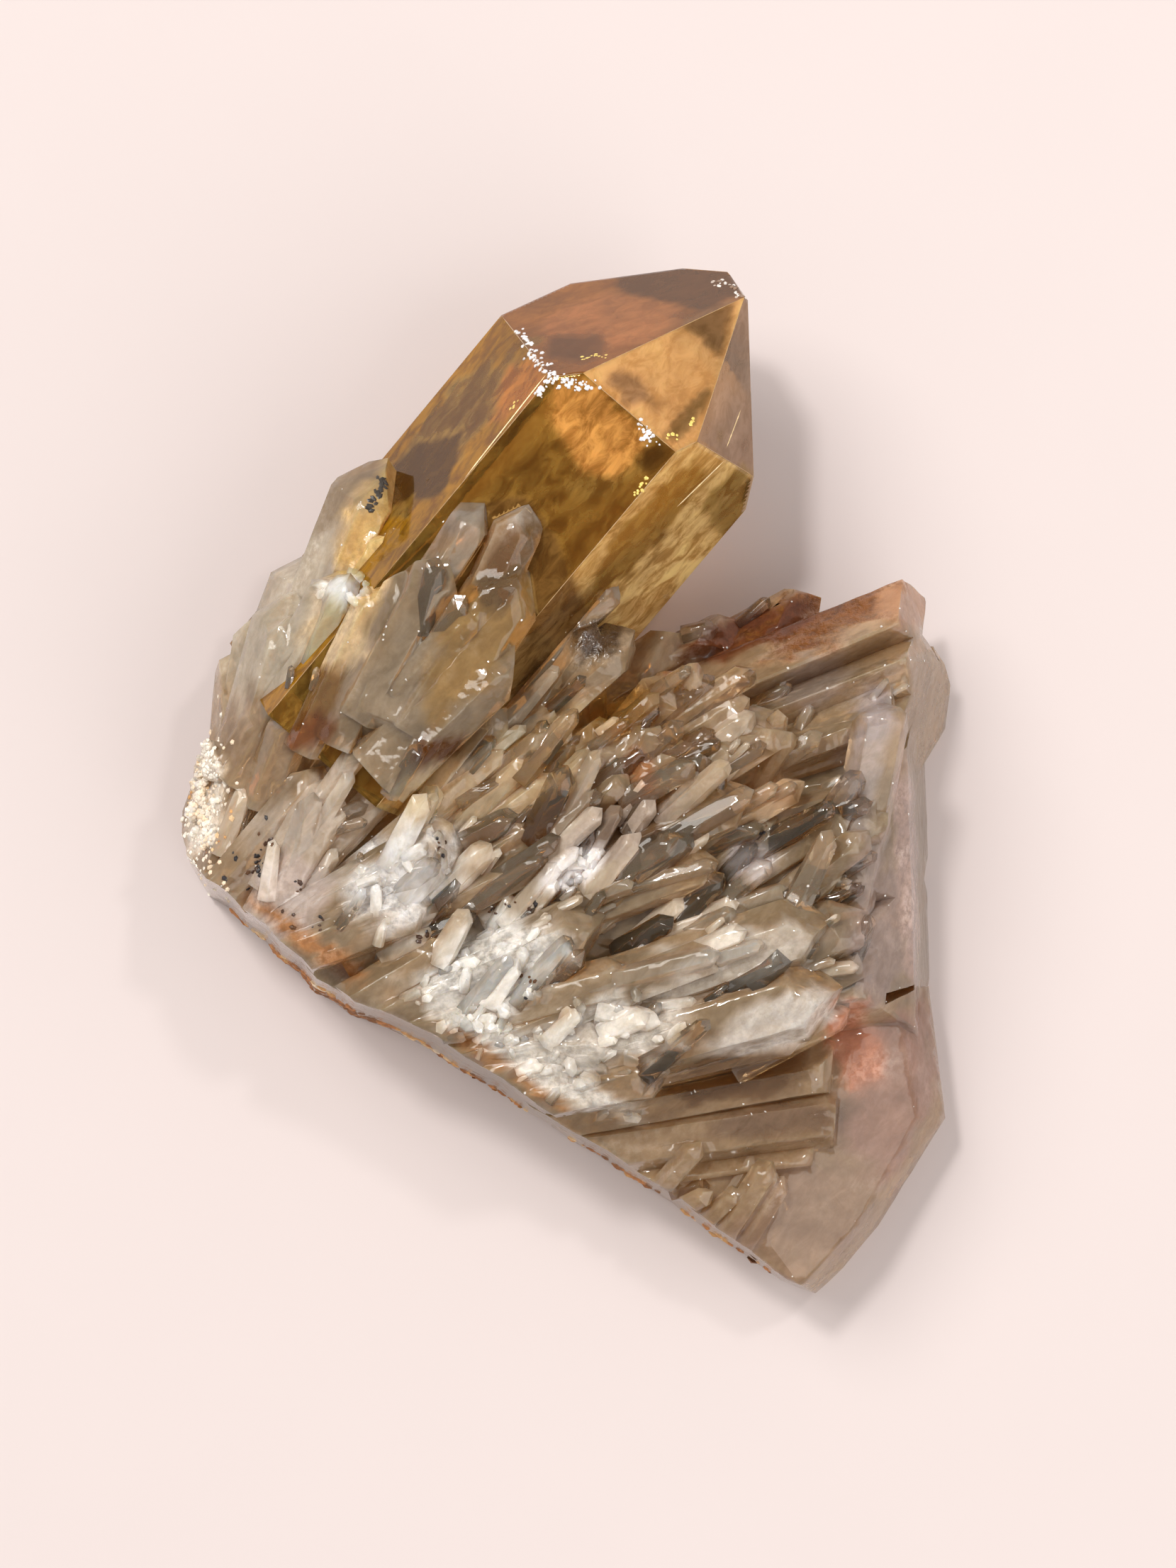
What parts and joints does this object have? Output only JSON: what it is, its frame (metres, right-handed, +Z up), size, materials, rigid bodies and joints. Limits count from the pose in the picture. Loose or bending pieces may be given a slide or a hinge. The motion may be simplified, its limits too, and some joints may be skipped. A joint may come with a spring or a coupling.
{
  "type": "citrine cluster",
  "caption": "Cluster of smoky golden quartz: one large clear point with smaller points and milky blades fanning out beside it from one broken foot, lying on its back.",
  "frame": {"origin": "centre of the cluster's box in plan, on the surface that it lies on", "axes": "+Y along the cluster towards the large point, +X towards the snapped ends of the fan, +Z up from the surface"},
  "size_m": [0.0742, 0.0982, 0.0326],
  "materials": {
    "citrine": "smoky golden quartz with glossy crystal faces, milky in the small points and dull on the broken foot"
  },
  "bodies": {
    "root": {"citrine_cluster": "citrine"}
  },
  "joints": []
}
